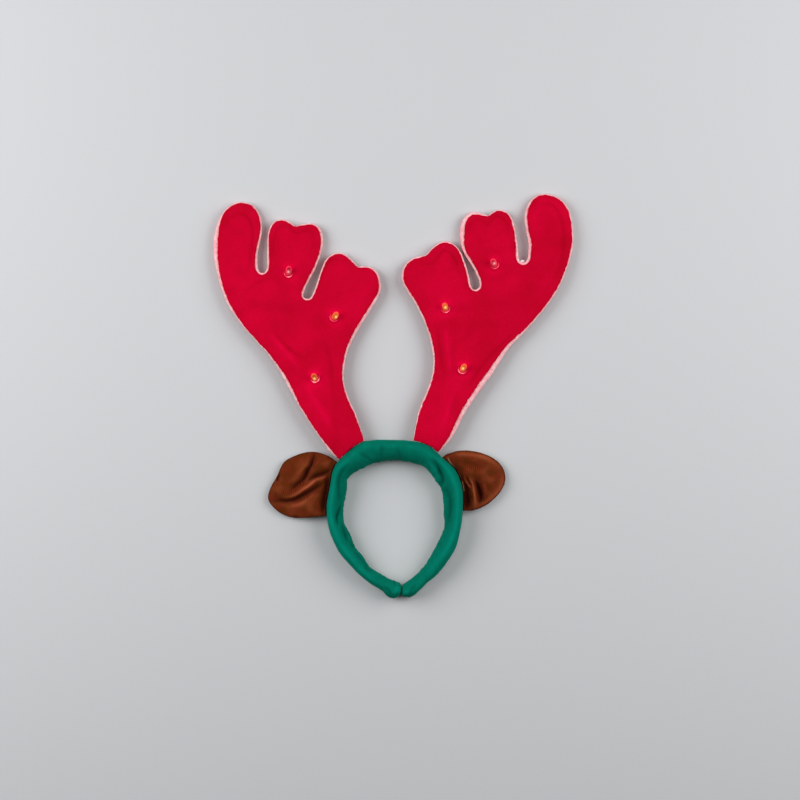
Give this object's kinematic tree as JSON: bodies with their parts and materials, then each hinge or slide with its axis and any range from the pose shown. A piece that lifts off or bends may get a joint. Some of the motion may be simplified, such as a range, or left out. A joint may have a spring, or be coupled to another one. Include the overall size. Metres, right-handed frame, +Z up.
{
  "type": "reindeer antler headband",
  "caption": "Padded headband, an open loop in a cloth sleeve, with two felt-faced foam antlers that carry small lamps and a padded cloth ear on each side.",
  "frame": {"origin": "middle of the bounding box's bottom, on the surface that the headband lies on", "axes": "+X across the headband to the right antler, +Y from the band's tips to the antlers' tips, +Z up from the surface, along the depth of the band"},
  "size_m": [0.3604, 0.405, 0.027],
  "materials": {
    "green_fabric": "soft short-pile green cloth sleeve, matt with a faint sheen",
    "red_felt": "matt red felt",
    "foam_edge": "pale pink cut edge of a soft foam board, fuzzy",
    "brown_fabric": "brown ribbed pile cloth with a soft sheen",
    "led_lens": "clear orange lamp lens, gloss",
    "led_collar": "clear pinkish plastic collar, gloss"
  },
  "bodies": {
    "root": {"band_sleeve": "green_fabric", "ear_left": "brown_fabric", "ear_right": "brown_fabric", "antler_left_foam": "foam_edge", "antler_left_front_felt": "red_felt", "antler_left_back_felt": "red_felt", "lamp_left_1_lens": "led_lens", "lamp_left_1_collar": "led_collar", "lamp_left_2_lens": "led_lens", "lamp_left_2_collar": "led_collar", "lamp_left_3_lens": "led_lens", "lamp_left_3_collar": "led_collar", "antler_right_foam": "foam_edge", "antler_right_front_felt": "red_felt", "antler_right_back_felt": "red_felt", "lamp_right_1_lens": "led_lens", "lamp_right_1_collar": "led_collar", "lamp_right_2_lens": "led_lens", "lamp_right_2_collar": "led_collar", "lamp_right_3_lens": "led_lens", "lamp_right_3_collar": "led_collar"}
  },
  "joints": []
}
